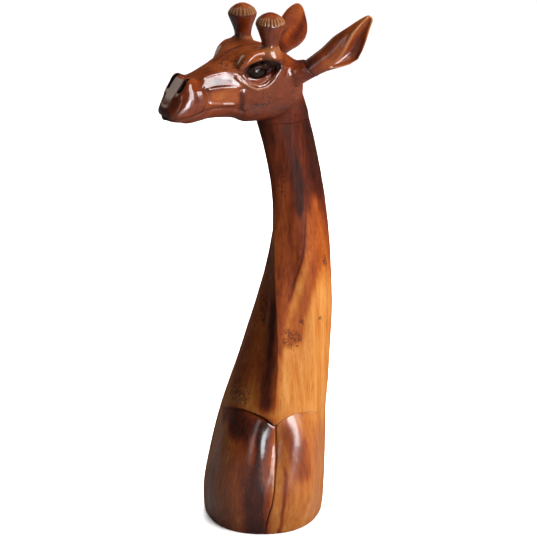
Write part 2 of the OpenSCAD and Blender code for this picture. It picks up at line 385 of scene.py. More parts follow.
def spaced(n, low, high, weight):
    """n values from low to high, closer together where weight is large."""
    x = np.linspace(low, high, 4001)
    w = np.cumsum(weight(x))
    w = (w - w[0]) / (w[-1] - w[0])
    return np.interp(np.linspace(0, 1, n), w, x)


def breast(angle, z):
    """How far the two breast lobes stand out, and how deep the creases round them are."""
    top = np.interp(angle, CREASE[:, 0], CREASE[:, 1])
    split = np.interp(z, SPLIT[:, 0], SPLIT[:, 1])
    below = top - z
    arc = np.radians(np.abs(angle - split)) * LOBE_RADIUS
    side = np.where(angle < 0, ramp(86 + angle, 0, 46), ramp(74 - angle, 0, 44))
    swell = -3 + 31 * (1 - np.exp(-np.clip(below, 0, 400) / 86))
    # each lobe is a plane that falls to the split and rounds over at its crest
    valley = 1 - 0.14 * np.log1p(np.exp((1 - arc / np.where(angle < split, 28, 48)) / 0.14))
    depth = 12 * ramp(below, -10, 45) * (1 - 0.7 * ramp(below, 55, 165))
    out = (below > 0) * ramp(z, -25, 105) * (swell - depth * (1 - valley)) * side
    # the neck stands a little proud above the crease
    out += 1.2 * ramp(-below, 30, 0) * ramp(70 - np.abs(angle), 0, 20) * (below < 0)
    end = ramp(56 - np.abs(angle), 0, 24)
    wide = 1.25 + 1.5 * bell(angle + 10, 13) - 0.35 * ramp(angle, 0, 20)
    groove = (3.0 + 1.2 * (angle < 3)) * end * bell(below, wide)
    split_cut = 3.0 * bell(arc, 0.9 + 0.6 * ramp(z, 120, 220))
    groove = np.maximum(groove, split_cut * ramp(below, -1, 3) * ramp(z, -5, 30))
    return out - groove, groove


def build_neck():
    """The log: rings of points round the neck's own line, laid on the CAD surface and then carved."""
    cad, tri = mesh_arrays(NODES["neck_and_chest"])
    tree = BVHTree.FromPolygons(cad.tolist(), tri.tolist())
    rows, cols = 412, 238
    z = spaced(rows, 0, NECK_TOP, lambda v: 1 + 2.6 * bell(v - 246, 16) + 0.8 * bell(v, 8))
    a = spaced(cols + 1, -180, 180, lambda v: 1 + 3.2 * bell(v - 5, 9) + 0.9 * bell(v, 55))[:-1]
    cx, cy, face = neck_line(z)
    # the CAD surface, measured outward from the neck's own line, then smoothed of its facets
    zs = np.linspace(3, NECK_TOP - 3, 135)
    angles = np.linspace(0, 360, 90, endpoint=False)
    radius = np.zeros((len(zs), len(angles)))
    sx, sy, sf = neck_line(zs)
    for i, height in enumerate(zs):
        for j, t in enumerate(angles):
            radius[i, j] = reach(tree, sx[i], sy[i], math.radians(sf[i] + t), height, 300)
    for _ in range(3):
        radius = 0.25 * np.roll(radius, 1, 1) + 0.5 * radius + 0.25 * np.roll(radius, -1, 1)
        even_out(radius)
    A, Z = np.meshgrid(a, z)
    row = np.clip((Z - zs[0]) / (zs[1] - zs[0]), 0, len(zs) - 1.001)
    col = (A % 360) / angles[1]
    i0, j0 = row.astype(int), col.astype(int)
    u, v = row - i0, col - j0
    j0, j1 = j0 % len(angles), (j0 + 1) % len(angles)
    R = (1 - u) * ((1 - v) * radius[i0, j0] + v * radius[i0, j1])
    R += u * ((1 - v) * radius[i0 + 1, j0] + v * radius[i0 + 1, j1])
    # flush with the head all round the joint
    edge = mesh_arrays(head)
    head_tree = BVHTree.FromPolygons(edge[0].tolist(), edge[1].tolist())
    rim = np.zeros(cols)
    for j in range(cols):
        w = math.radians(face[-1] + a[j])
        low, high = [reach(head_tree, cx[-1], cy[-1], w, NECK_TOP + up, 200) for up in (0.9, 3.0)]
        rim[j] = low + 0.2 * (low - high)
    # the keel down the front of the neck, nearly an edge between two flattish planes
    keel = ramp(Z, 225, 300) * (1 - 0.55 * ramp(Z, 560, 700))
    R += keel * (3.4 * np.exp(-np.abs(A) / 7) - 2.6 * bell(np.abs(A) - 28, 15))
    lift, groove = breast(A, Z)
    R += lift
    # a faint mane ridge with shallow knife cuts down the nape
    nape = 180 - np.abs(A)
    R += ramp(Z, 300, 420) * 1.6 * bell(nape, 5)
    cuts = 0.5 * (np.sin(Z / 2.4 + 1.3 * np.sin(Z / 31)) - 0.2).clip(0)
    R -= ramp(Z, 330, 420) * cuts * bell(nape, 9)
    # hand-worked unevenness: long shallow tool planes and a slow waviness
    flat = np.stack([A.ravel() * 1.6, Z.ravel() * 0.45, np.zeros(A.size)], 1)
    uneven = 0.40 * noise3(flat, 30, 3) + 0.12 * noise3(flat * [1.6, 1, 1], 11, 5)
    R += uneven.reshape(A.shape)
    near_top = ramp(Z, NECK_TOP - 45, NECK_TOP)
    R = R + near_top * (rim[None, :] - R)
    # the sawn foot has a slightly eased edge
    R -= 1.6 * (1 - ramp(Z, 0, 3.5))
    W = np.radians(face[:, None] + A)
    P = np.stack([cx[:, None] + R * np.cos(W), cy[:, None] + R * np.sin(W), Z], -1)
    points = P.reshape(-1, 3)
    index = np.arange(rows * cols).reshape(rows, cols)
    faces = ring_quads(index)
    # flat ends, closed with rings that run in to the middle
    extra = []
    for ring, turn in ((index[0], -1), (index[-1], 1)):
        centre = points[ring].mean(0)
        last = ring
        for t in (0.93, 0.6, 0.25):
            here = len(points) + len(extra) + np.arange(cols)
            extra.extend(centre + (points[ring] - centre) * t)
            faces += ring_quads(np.stack([last, here])[:, ::turn])
            last = here
        faces += cap(last[::turn], len(points) + len(extra))
        extra.append(centre)
    everything = np.concatenate([points, np.array(extra)])
    n = len(everything)
    az = np.concatenate([A.ravel(), np.full(n - A.size, 0.0)])
    layers = neck_layers(everything, az, np.concatenate([groove.ravel(), np.zeros(n - groove.size)]))
    return make_object("neck_carving", everything, faces, layers)


def paint(tone, angle, z, path, width, target, wobble):
    """Draws a soft streak along a path of (height, angle, own width) that pulls the tone toward a target."""
    path = sorted(path)
    heights = [q[0] for q in path]
    centre = np.interp(z, heights, [q[1] for q in path]) + wobble
    wide = np.interp(z, heights, [q[2] for q in path]) if len(path[0]) > 2 else width
    off = np.abs((angle - centre + 180) % 360 - 180) / wide
    ends = ramp(z, heights[0] - 14, heights[0] + 14) * ramp(heights[-1] - z, -14, 14)
    return tone + (target - tone) * bell(off, 1, 3.2) * ends


def neck_layers(p, angle, groove):
    """Numbers on each point that say how the wood is coloured there."""
    z = p[:, 2]
    long = p * [1, 1, 0.13]
    wob = 3.0 * noise3(long, 26, 11) + 1.5 * noise3(long, 9, 12)
    # sapwood below, darker and redder wood toward the head
    tone = 0.13 + 0.06 * ramp(-angle, 0, 30) + 0.10 * ramp(np.abs(angle), 70, 140)
    # painted shade: the giraffe's right side of the keel above the breast, turned away from the key lamp, is
    # darker
    tone += 0.22 * ramp(-angle, 2, 14) * ramp(z, 255, 330) * ramp(110 + angle, 0, 40)
    tone += 0.17 * ramp(z, 480, 560) * ramp(angle, -10, 20)
    tone += 0.42 * ramp(z, 520, 720) + 0.04 * ramp(z, 720, 806)
    tone += ramp(angle, 55, 95) * 0.08 * ramp(z, 620, 700)
    # the breast is redder than the neck above it
    below = np.interp(angle, CREASE[:, 0], CREASE[:, 1]) - z
    edge = ramp(np.abs(angle), 34, 60)
    breast_part = ramp(below, -2, 3) * (1 - edge) + ramp(below, -50, 90) * edge
    right = ramp(angle, 0, 6)
    tone += breast_part * (0.10 + right * (0.08 * ramp(z, 20, 170) - 0.02) - 0.05 * ramp(-angle, 45, 80))
    for path, width, target in (
            # heartwood that runs from under the right cheek down to the breast
            ([(665, 60, 8), (646, 60, 12), (614, 61, 13), (577, 52, 12), (541, 36, 11), (504, 22, 10),
              (457, 9, 10), (411, -1, 11), (380, -6, 11), (320, -9, 12), (262, -10, 13)], 11, 0.62),
            ([(664, 80), (644, 76), (586, 60), (557, 50), (509, 29), (468, 16)], 2.2, 0.78),
            ([(660, 104), (600, 96), (563, 84), (518, 62), (474, 42), (440, 28), (390, 20)], 12, 0.44),
            ([(700, 30, 30), (640, 30, 27), (560, 18, 22), (500, 8, 16), (440, 0, 12), (370, -4, 9)],
             12, 0.54),
            # partly heartwood and partly painted shade: a dark strip just on the giraffe's right of the keel
            ([(470, -5), (411, -9), (360, -10), (262, -12)], 6, 0.76),
            # black veins under the cheek
            ([(806, 58), (766, 47), (733, 39)], 2.6, 0.88),
            ([(830, 98), (774, 79), (726, 71), (700, 70)], 5.5, 0.90),
            ([(830, 108), (754, 88), (716, 79), (690, 74)], 4.0, 0.88),
            ([(830, 84), (754, 80), (690, 72), (640, 62)], 27, 0.82),
            ([(740, 76, 5), (700, 71, 10), (680, 67, 14), (664, 64, 12), (630, 59, 6)], 10, 0.97),
            # breast, giraffe's right lobe
            ([(246, -13, 17), (214, -13, 15), (160, -12, 14), (114, -10, 13), (60, -8, 12), (-20, -6, 11)],
             13, 0.84),
            ([(252, -42, 16), (234, -41, 19), (212, -34, 13), (186, -26, 7)], 12, 0.82),
            ([(200, -32), (100, -32), (-20, -30)], 7, 0.40),
            ([(212, -20, 4), (180, -18, 5), (150, -17, 4)], 5, 0.52),
            ([(236, -66), (214, -60)], 8, 0.62),
            ([(190, -64), (120, -54), (20, -48)], 6, 0.36),
            # breast, giraffe's left lobe
            ([(150, 15), (75, 18), (-20, 17)], 2.0, 0.56),
            ([(150, 9), (95, 9), (50, 10)], 3.4, 0.14),
            ([(236, 16), (190, 24), (120, 32)], 9, 0.50),
            ([(250, 10), (225, 9), (190, 8)], 3, 0.24),
            # veins on the sides and down the nape
            ([(806, -60), (640, -64), (470, -78), (330, -84)], 8, 0.60),
            ([(700, -96), (520, -104), (300, -112), (120, -116)], 13, 0.58),
            ([(600, -124), (420, -128), (200, -132)], 4, 0.72),
            ([(820, 182), (600, 178), (380, 182), (60, 176)], 17, 0.64),
            ([(780, 172), (600, 170), (430, 173)], 3, 0.86),
            ([(640, 152), (460, 146), (260, 150), (40, 146)], 5, 0.55),
            ([(330, 112), (210, 108), (90, 112), (-20, 108)], 14, 0.52),
            ([(300, 104), (200, 102), (110, 106)], 3, 0.72),
            ([(520, 118), (430, 112), (300, 110)], 6, 0.36),
            ([(260, -140), (120, -146), (-20, -142)], 16, 0.56)):
        tone = paint(tone, angle, z, path, width, target, wob)
    tone += 0.06 * noise3(long, 14, 15) + 0.045 * noise3(p * [1, 1, 0.07], 5, 16) + 0.05 * noise3(p, 60, 17)
    # places for burnt marks: angle, height, their half sizes and strength
    burn = np.zeros(len(p))
    for a0, z0, ra, rz, strength in (
            (-31, 452, 11, 32, 1), (18, 400, 15, 20, 1), (33, 432, 6, 9, .8), (8, 414, 8, 12, .8),
            (-50, 284, 20, 26, 1), (64, 432, 5, 9, .7), (20, 700, 17, 36, .9), (100, 684, 10, 13, .8),
            (-95, 470, 12, 24, 1), (-140, 390, 14, 24, 1), (150, 480, 15, 26, 1), (118, 350, 13, 20, 1),
            (-120, 620, 14, 22, 1), (172, 640, 12, 20, 1), (96, 540, 8, 14, .8), (-56, 118, 5, 14, .9)):
        q = ((((angle - a0 + 180) % 360 - 180) / ra) ** 2 + ((z - z0) / rz) ** 2)
        burn = np.maximum(burn, strength * np.exp(-(q ** 1.6)))
    sheen = 0.08 + 0.92 * breast_part * ramp(100 - np.abs(angle), 0, 30)
    # painted shade: dark along the deep parts of the breast creases and the split between the lobes
    return all_layers(len(p), tone=tone, burn=burn, dirt=(groove - 1.1) / 1.9, sheen=sheen)


# ---------------------------------------------------------------- head

BROW = [(60, 43, -28), (54, 47, -18), (46, 51, -9), (34, 54, -1), (16, 56, 1), (2, 57, -6), (-8, 58, -17),
        (-14, 58, -32)]
OUTER_LID = [(70, 42, -37), (61, 46, -48), (49, 49, -59), (33, 51.5, -68), (15, 53.5, -67), (-1, 56, -56),
             (-9, 58, -42)]
INNER_LID = [(62, 42, -33), (55, 45, -45), (42, 48, -57), (28, 50, -63), (15, 52, -61), (5, 54, -52)]
UPPER_LID = [(60, 44, -30), (50, 49, -21), (38, 53, -17), (22, 55, -15), (6, 56, -18), (-5, 57, -28),
             (-8, 57, -42)]
MOUTH = [(57, 36, -106), (78, 34, -98), (100, 31, -93), (119, 30, -91), (135, 33, -91.5), (155, 34, -95),
         (172, 33, -96), (186, 27, -95.5), (195, 14, -94.5), (198, 0, -94)]
CREASE_BEHIND_LIP = [(131, 36, -46), (126, 37, -57), (124, 36.5, -69), (129, 35, -84), (138, 34, -90)]
NOSTRIL = [(154, 21, -31), (160, 22, -37), (166, 22, -46), (169, 21, -51)]
CHEEK_EDGE = [(61, 47, -64), (57, 43, -80), (56, 39, -98), (60, 36, -108)]
UPPER_FACET = [(64, 46, -28), (86, 37, -25.5), (107, 33, -25.5), (127, 32, -28), (139, 33, -31)]
# The right side was planed a little lower toward the muzzle.
FAR_UPPER_FACET = [(64, 45, -29), (86, 36, -29), (107, 30, -33), (127, 28, -40), (139, 28, -44)]
LOWER_FACET = [(62, 48, -60), (80, 44, -56), (96, 41, -54), (112, 39, -53), (127, 38, -53)]
JAW_EDGE = [(62, 44, -93), (80, 38.5, -91), (96, 35, -88), (112, 34, -84), (127, 36, -80)]
BRIDGE_EDGE = [(64, 25, -13), (86, 18, -17), (107, 15, -22.5), (127, 14, -28), (139, 14, -32)]
# Rolled lids that half cover the eyeball, as offsets forward and up from its middle.
LID_ROLLS = ([(23, -3), (18, 3), (9, 7.5), (-2, 8.5), (-12, 5.5), (-19, 0), (-22.5, -7)],
             [(23, -2), (17, -10), (7, -15), (-4, -15.5), (-15, -12), (-22.5, -6)])
MID_LID = 0.5 * (np.array(OUTER_LID[:6]) + INNER_LID)
EYE_AT, EYE_R, LID_R = np.array([27.0, 33.0, -35.0]), 22.0, 23.4
# Wood left under the head, and at the ears' ends, while the clay is smoothed; it is sawn off at the end.
HEAD_SPARE, EAR_SPARE = 12, 9
HEAD_BOX = (-112, -104, -176), (212, 104, 34)
EAR_BOX = (-12, -60, -34), (166, 40, 34)


def on_side(path, side, shift=(0, 0, 0)):
    """A path written for the left side, shifted and put on its side."""
    return [(f + shift[0], (s + shift[1]) * side, u + shift[2]) for f, s, u in path]


def build_head():
    """The head block, carved as clay in its own frame."""
    cad, tri = mesh_arrays(NODES["head"])
    cad[cad[:, 2] < NECK_TOP + 0.01, 2] -= HEAD_SPARE
    clay = Clay(to_head(cad), tri, *HEAD_BOX, 0.95)
    for side in (1, -1):
        # the CAD eye pocket is filled and carved again with its lids
        clay.ball((27, 33 * side, -35), (25, 25, 25))
        clay.ball((27, 38 * side, -36), (34, 17, 30), blend=6)
        # dowel bores don't show, so the block is solid where they run
        clay.ball((0, 49 * side, -12), (9, 9, 15))
        clay.ball((-55, 58 * side, -52), (14, 14, 14))
        clay.ball((-40, 44 * side, -60), (14, 14, 14))
    for ear in EARS.values():
        clay.ear_boss(*ear_axes_local(*ear))
    clay.soften(12)
    for s in (1, -1):
        # skull: brow, temple and cheek
        clay.stroke(on_side(BROW, s), 6.5, 9)
        clay.dab((-30, 57 * s, -70), 2.0, (26, 20, 26))
        clay.dab((-8, 62 * s, -52), 2.5, (12, 14, 18))
        clay.dab((78, 44 * s, -40), -1.5, (14, 12, 10))
        clay.dab((-36, 52 * s, -118), 2.0, (18, 14, 16))
        # long planes down the side of the face, with crisp edges between them
        upper = UPPER_FACET if s > 0 else FAR_UPPER_FACET
        if s > 0:
            clay.facet(BRIDGE_EDGE, upper, s, 64, 122, 0.7)
        clay.facet(upper, LOWER_FACET, s, 58, 134)
        clay.facet(LOWER_FACET, JAW_EDGE, s, 66, 122)
        clay.stroke(on_side(upper, s), 1.2 if s > 0 else 0.4, 3.0, taper=0.15)
        clay.dab((66, 38 * s, -14), -3.0, (10, 10, 9))
        clay.stroke(on_side(LOWER_FACET, s), 1.4, 3.0, taper=0.15)
        clay.dab((96, 40 * s, -41), -0.8, (26, 10, 9))
        clay.stroke(on_side(JAW_EDGE, s, (0, 1.5, 0)), 1.6, 4.0, taper=0.2)
        clay.stroke(on_side(CHEEK_EDGE, s), 2.6, 6, taper=0.2)
        clay.stroke(on_side(CHEEK_EDGE, s, (11, 0, 0)), -2.2, 6, taper=0.2)
        # muzzle
        clay.stroke(on_side(CREASE_BEHIND_LIP, s), -3.2, 4.2, taper=0.15)
        clay.stroke([(f + 9, q * 1.02, w) for f, q, w in on_side(CREASE_BEHIND_LIP, s)], 2.2, 6, taper=0.2)
        clay.dab((151, 26 * s, -31), 3.6, (11, 8, 8))
        clay.dab((160, 35 * s, -72), 2.2, (18, 12, 18))
        clay.stroke([(146, 33 * s, -39), (150, 34.5 * s, -44)], -1.2, 1.8)
        clay.stroke([(143, 34 * s, -42), (147, 35.5 * s, -48)], -0.9, 1.6)
        clay.stroke(on_side([(199, 0, -100), (190, 16, -102), (176, 23, -104), (160, 24, -106)], s), 2.2, 6)
    for k in (-1, 1):
        clay.stroke([(134, 12 * k, -106), (115, 10 * k, -112), (95, 9 * k, -116), (77, 11 * k, -120)],
                    0.8, 12, taper=0.2)
    clay.dab((198, 0, -105), -3.0, (8, 16, 6))
    # the flat plate between the nostrils, and the bridge behind it
    for k in (-1, 1):
        clay.stroke([(154, 29 * k, -32), (164, 29 * k, -46), (180, 24 * k, -62)], 2.2, 4.5, taper=0.2)
    clay.plate((172, 0, -48), (0.75, 0, 0.664), 15, (154, 192))
    clay.stroke([(100, 0, -20), (134, 0, -33)], 1.6, 9)
    clay.dab((160, 0, -114), 4.0, (15, 20, 9))
    clay.dab((60, 0, -8), 2.0, (16, 20, 10))
    clay.soften(2)
    for s in (1, -1):
        for shift in ((0, 0, 0), (-5, -1, -6)):
            sl, off, _ = clay.line_distance(on_side(NOSTRIL, s, shift), 14)
            clay.merge(sl, off - 4.6, 1.5, True)
        clay.stroke(on_side(MOUTH, s), -3.4, 1.9)
        # knife marks for whiskers under the nose plate
        for f0, s0, f1, s1 in ((186, 4, 192, 3), (186, 9, 191, 11), (184, 14, 189, 18), (190, 6, 195, 8)):
            clay.stroke([(f0, s0 * s, -62), (f1, s1 * s, -72)], -1.1, 1.1)
        # eye: a hollow under the brow, an eyeball's room, and two lower lids
        clay.ball((26, 66 * s, -33), (38, 25, 17.5), blend=4, cut=True)
        clay.stroke(on_side(OUTER_LID, s), 3.8, 2.7, taper=0.1)
        clay.stroke(on_side(INNER_LID, s), 3.8, 2.0, taper=0.12)
        clay.stroke(on_side(MID_LID, s), -3.4, 1.6, taper=0.1)
        clay.stroke([(f, q - 1, w + 8) for f, q, w in on_side(INNER_LID, s)], 2.4, 1.8, taper=0.15)
        clay.stroke(on_side(UPPER_LID, s), 1.6, 3.0, taper=0.15)
        for roll, radius in zip(LID_ROLLS, (4.4, 3.6)):
            out = [math.sqrt(max(LID_R ** 2 - df * df - du * du, 9)) for df, du in roll]
            path = [EYE_AT + [df, reach, du] for (df, du), reach in zip(roll, out)]
            clay.tube(on_side(path, s), radius)
        clay.stroke([(66, 42 * s, -34), (56, 46 * s, -36), (50, 44 * s, -38)], -1.6, 2.4)
        clay.ball(EYE_AT * [1, s, 1], EYE_R + 0.9, cut=True)
        # the raised seat under each ossicone
        sl, q, _ = clay.line_distance([(1.5, 49 * s, -16), (0.2, 49 * s, -2.5)], 30)
        clay.merge(sl, q - 17.0, 5, False)
    clay.soften(1)
    # the flat joints that the ears stand on
    for ear in EARS.values():
        clay.saw_ear_joint(*ear_axes_local(*ear))
    # the sawn underside that meets the neck
    sl, x, y, z = clay.box(*HEAD_BOX)
    height = CROWN[2] + HEAD_TURN[2, 0] * x + HEAD_TURN[2, 1] * y + HEAD_TURN[2, 2] * z
    clay.d[sl] = np.maximum(clay.d[sl], NECK_TOP + 0.2 - height).astype(np.float32)
    points, quads = biggest_shell(*clay.mesh())
    world = from_head(points)
    return make_object("head_carving", world, quads, head_layers(points, world))


def head_layers(p, world):
    """Numbers on each point of the head: p in its own frame, world in the row frame."""
    q = p.copy()
    q[:, 1] = np.abs(q[:, 1])
    f, s, u = q.T
    inner_nostril = on_side(NOSTRIL, 1, (-6, -1, -7))
    # painted shade: dark in the mouth line, the nostrils, the groove between the lower lids, the crease
    # behind the lip, and the eye's socket under the brow and round the eyeball
    dirt = lines_on(q, ((MOUTH, 2.2, 2, 0.9), (NOSTRIL, 6.4, 6, 1), (inner_nostril, 7.5, 6, 1),
                        (MID_LID, 2.0, 2, 0.8), (CREASE_BEHIND_LIP, 3.0, 2, 0.7)))
    pocket = ((f - 26) / 38) ** 2 + ((s - 66) / 26) ** 2 + ((u + 33) / 18) ** 2
    socket = ramp(1.32 - pocket, 0, 0.45) * ramp(u, -51, -42) * ramp(s, 24, 32)
    dirt = np.maximum(dirt, 0.97 * socket)
    dirt = np.maximum(dirt, 0.9 * ramp(30 - np.linalg.norm(q - EYE_AT, axis=1), 0, 5) * ramp(u, -52, -46))
    cheek = ((f - 22) / 19) ** 2 + ((u + 96) / 24) ** 2
    bridge = ((f - 74) / 20) ** 2 + ((u + 17) / 13) ** 2
    stipple = np.maximum(1.5 * bell(cheek, 1) * ramp(s, 20, 34), 1.2 * bell(bridge, 1) * ramp(s, 6, 20))
    long = p * [0.16, 1, 0.7]
    tone = 0.63 + 0.11 * noise3(long, 16, 21) + 0.05 * noise3(p * [0.12, 1, 1], 5, 22)
    tone += 0.09 * noise3(p, 34, 23)
    # lighter and darker areas: forward, up, their half sizes, their tone, and how far out they start; the
    # two lighter brow spots, at (30, 2) and (40, -8), also paint the brow's highlight
    for f0, u0, rf, ru, target, s0 in (
            (98, -72, 42, 19, 0.40, 22), (100, -101, 44, 9, 0.54, 18), (80, -22, 34, 16, 0.50, 0),
            (30, 2, 24, 12, 0.46, 34), (58, -95, 8, 34, 0.70, 26), (26, -96, 26, 30, 0.61, 24),
            (-20, -100, 24, 36, 0.67, 24), (-8, -62, 20, 18, 0.66, 36),
            (168, -70, 34, 40, 0.66, 0), (176, -96, 30, 12, 0.60, 0), (120, -26, 20, 9, 0.60, 0),
            (40, -8, 30, 24, 0.48, 0), (-8, -4, 26, 20, 0.54, 0)):
        spot = ((f - f0) / rf) ** 2 + ((u - u0) / ru) ** 2
        tone = tone + (target - tone) * bell(spot, 1) * ramp(s, s0, s0 + 8)
    low = 1 - ramp(world[:, 2], 815, 868)
    # the colour of the neck runs on through the joint into the stub under the head
    cx, cy, face = neck_line(world[:, 2])
    angle = (np.degrees(np.arctan2(world[:, 1] - cy, world[:, 0] - cx)) - face + 180) % 360 - 180
    tone = tone + (neck_layers(world, angle, np.zeros(len(p)))["tone"] - tone) * low
    for ear in EARS.values():
        turn, root = ear_axes_local(*ear)
        e = (p - root) @ turn
        near = bell(np.hypot(e[:, 1] + 4, e[:, 2]), 30, 4)
        tone = tone + (0.74 - tone) * near * ramp(e[:, 0], -24, 1) + 0.05 * near * ramp(e[:, 0], -46, -14)
    # a lighter collar round each ossicone seat, and painted highlights along the two lower lid rolls
    pale = 0.22 * bell(np.hypot(np.hypot(f, s - 49), u + 2) - 18, 5) * (u < 6)
    pale = np.maximum(pale, lines_on(q, ((OUTER_LID, 2.6, 2, 0.30), (INNER_LID, 2.2, 2, 0.22))))
    burn = 0.6 * np.exp(-((f / 6) ** 2 + ((u + 112) / 7) ** 2)) * ramp(s, 20, 34)
    sheen = 1 - 0.85 * np.maximum(ramp(-f, 46, 80), low)
    return all_layers(len(p), tone=tone, burn=burn, dirt=dirt, pale=pale, stipple=stipple, sheen=sheen)


head = build_head()
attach(head, "root")
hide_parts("head")

neck = build_neck()
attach(neck, "root")
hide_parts("neck_and_chest")

# ---------------------------------------------------------------- ears

# Cuts along each ear in its own frame: the keel outside, the two edges of the hollow, and its fold.
EAR_CUTS = {
    "left_ear": {
        "keel": [(22, -6, -15), (52, -12, -19), (86, -11, -17), (120, -4, -11), (146, 1, -4)],
        "rim": [(34, -20, 15), (46, -18, 15), (62, -14, 16), (80, -6, 15), (104, 3, 12), (128, 6, 8),
                (148, 4, 3)],
        "lip": [(34, -21, 14), (46, -33, 10), (60, -43, 5), (74, -46, 2), (90, -41, 1), (110, -28, 1),
                (132, -11, 0), (148, -2, 0)],
        "fold": [(48, -26, 3), (74, -30, -6), (100, -17, -5), (126, -5, -2)],
    },
    "right_ear": {
        "keel": [(16, 0, -14), (45, -6, -18), (78, -16, -18), (108, -14, -16), (134, -6, -10),
                 (148, -2, -4)],
        "rim": [(34, -19, 15), (46, -14, 15), (62, -10, 16), (84, -9, 16), (108, -4, 14), (132, 1, 9),
                (148, 0, 4)],
        "lip": [(34, -20, 14), (46, -31, 9), (62, -40, 3), (80, -43, 1), (98, -41, 1), (118, -32, 1),
                (136, -20, 0), (149, -9, 0)],
        "fold": [(48, -22, 3), (74, -27, -6), (100, -24, -6), (126, -13, -3)],
    },
}


def build_ear(name):
    """An ear, carved as clay in its own frame: along it, to its upper edge, out of its hollow."""
    pointing, facing, side = EARS[name]
    turn, root = ear_axes(pointing, facing, side)
    cad, tri = mesh_arrays(NODES[name])
    local = (cad - root) @ turn
    if side < 0:
        tri = tri[:, ::-1]
    local[local[:, 0] < 0.01, 0] -= EAR_SPARE
    clay = Clay(local, tri, *EAR_BOX, 0.85, band=12)
    clay.ball((6, -4, 0), (20, 8, 8))
    clay.soften(4)
    cuts = EAR_CUTS[name]
    clay.stroke(cuts["keel"], 2.6, 6, taper=0.2)
    clay.stroke(cuts["rim"], 1.8, 3.4, taper=0.06)
    clay.stroke(cuts["lip"], 2.0, 3.6, taper=0.06)
    clay.stroke(cuts["fold"], -2.2, 4.0, taper=0.2)
    clay.soften(1)
    # the end that meets the head stays flat
    sl, x, y, z = clay.box(EAR_BOX[0], (20, 40, 34))
    clay.d[sl] = np.maximum(clay.d[sl], 0.02 - x).astype(np.float32)
    points, quads = biggest_shell(*clay.mesh())
    if side < 0:
        quads = quads[:, ::-1]
    world = points @ turn.T + root
    inside = ramp(points[:, 2], -9, 2) * bell(distance_to(cuts["fold"], points), 12)
    x, y, z = points.T
    grain = noise3(points * [0.2, 1, 1], 9, 51 if side > 0 else 52)
    outer = ramp(4 - z, 0, 14)
    tone = 0.44 + 0.10 * grain + 0.12 * outer + 0.24 * ramp(40 - x, 0, 40) - 0.12 * ramp(x, 80, 150)
    if side > 0:
        tone += 0.16 * ramp(y + 6, 0, 12) * ramp(120 - x, 0, 50) + 0.10 * outer * ramp(130 - x, 0, 50)
    else:
        # painted shade: a darker band down the far ear's back, on the side turned away from the lamps
        tone += 0.16 * outer * ramp(-y - 12, 0, 10) * ramp(x, 20, 50)
    # painted highlights along the rim and lip of the hollow
    pale = lines_on(points, ((cuts["rim"], 2.6, 2, 0.45), (cuts["lip"], 2.6, 2, 0.45)))
    # a dark joint line at the root, and painted shade deep in the hollow along its fold near the root
    dirt = 0.55 * ramp(7 - x, 0, 7) + 0.5 * inside * ramp(62 - x, 0, 30)
    layers = all_layers(len(points), tone=tone, dirt=dirt, pale=pale)
    obj = make_object(name + "_carving", world, quads, layers)
    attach(obj, "root")
    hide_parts(name)
    return obj


ears = [build_ear(name) for name in EARS]

# ---------------------------------------------------------------- ossicones

# Radius and height of an ossicone, from its foot to the top of its dome.
OUTLINE = np.array([
    [15.0, 0], [15.4, 1.2], [15.0, 5], [15.2, 10], [16.0, 15], [18.5, 23], [21.8, 32], [24.8, 39],
    [26.2, 43.4], [26.0, 46], [24.6, 49.6], [21, 55], [14, 60.5], [6, 63.8], [0, 64.5]], float)


